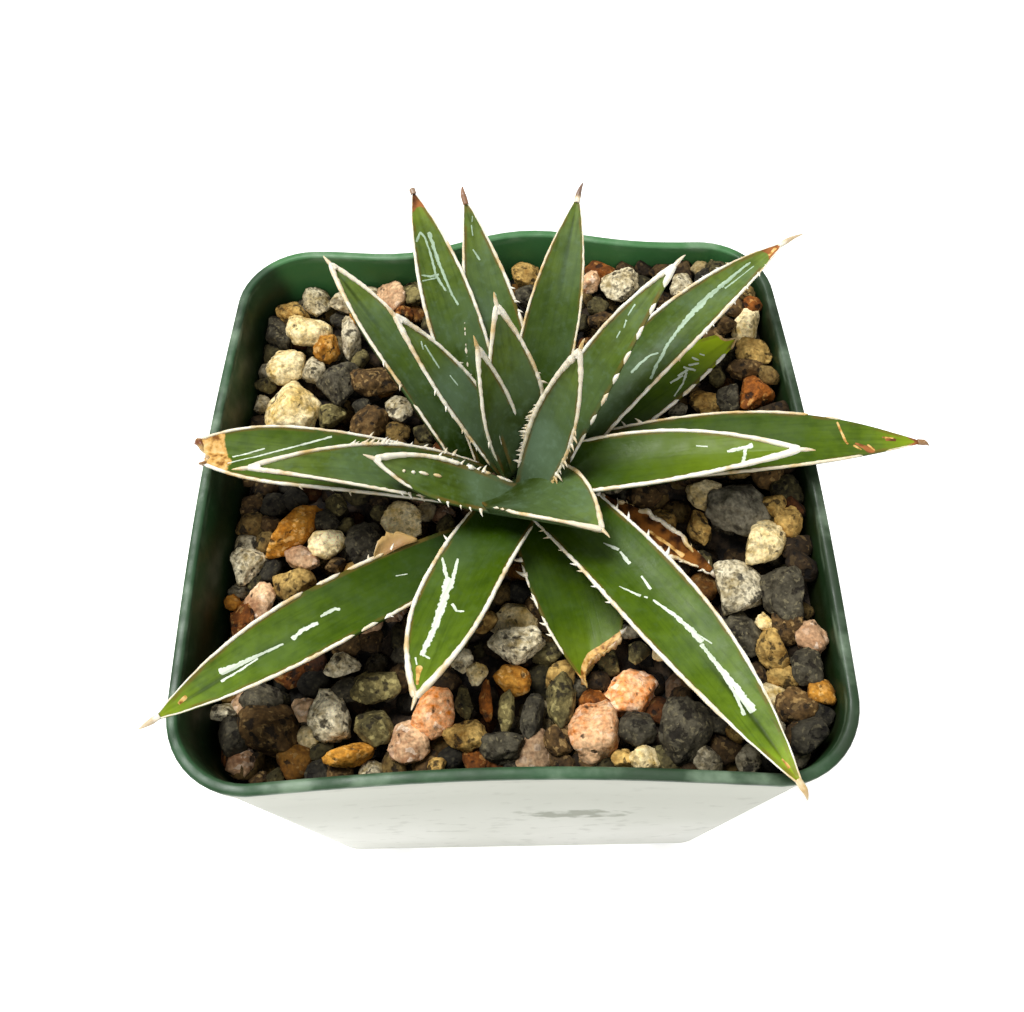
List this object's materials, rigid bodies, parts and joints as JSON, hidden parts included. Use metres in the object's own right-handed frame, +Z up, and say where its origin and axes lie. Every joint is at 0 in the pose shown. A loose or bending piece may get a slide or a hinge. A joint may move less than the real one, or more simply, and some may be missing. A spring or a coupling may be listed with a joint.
{
  "type": "potted queen victoria agave",
  "caption": "Small agave rosette of stiff pointed leaves with white horny margins, in a thin square nursery pot filled with gravel.",
  "frame": {"origin": "centre of the pot's underside, on the face of its middle pad", "axes": "+Z up along the pot's axis, +Y towards the back of the pot, +X to the right of a viewer who faces its front"},
  "size_m": [0.1094, 0.0958, 0.1068],
  "materials": {
    "pot": "thin moulded plastic, satin",
    "gravel": "dry mixed stones, matt",
    "leaf_young": "waxy skin with a blue-grey bloom",
    "leaf_old": "smooth waxy skin",
    "leaf_dead": "dry and papery",
    "margin": "smooth horn",
    "stem": "rough and fibrous"
  },
  "bodies": {
    "root": {"gravel": "gravel", "leaf_01": "leaf_young", "leaf_02": "leaf_young", "leaf_03": "leaf_young", "leaf_04": "leaf_young", "leaf_05": "leaf_young", "leaf_06": "leaf_young", "leaf_07": "leaf_young", "leaf_08": "leaf_young", "leaf_09": "leaf_young", "leaf_10": "leaf_old", "leaf_11": "leaf_old", "leaf_12": "leaf_old", "leaf_13": "leaf_old", "leaf_14": "leaf_old", "leaf_15": "leaf_old", "leaf_16": "leaf_old", "leaf_17": "leaf_old", "leaf_18": "leaf_old", "leaf_19": "leaf_old", "leaf_20": "leaf_old", "leaf_21": "leaf_old", "leaf_22": "leaf_dead", "margin_01": "margin", "margin_02": "margin", "margin_03": "margin", "margin_04": "margin", "margin_05": "margin", "margin_06": "margin", "margin_07": "margin", "margin_08": "margin", "margin_09": "margin", "margin_10": "margin", "margin_11": "margin", "margin_12": "margin", "margin_13": "margin", "margin_14": "margin", "margin_15": "margin", "margin_16": "margin", "margin_17": "margin", "margin_18": "margin", "margin_19": "margin", "margin_20": "margin", "margin_21": "margin", "margin_22": "margin", "pot": "pot", "stem": "stem"}
  },
  "joints": []
}
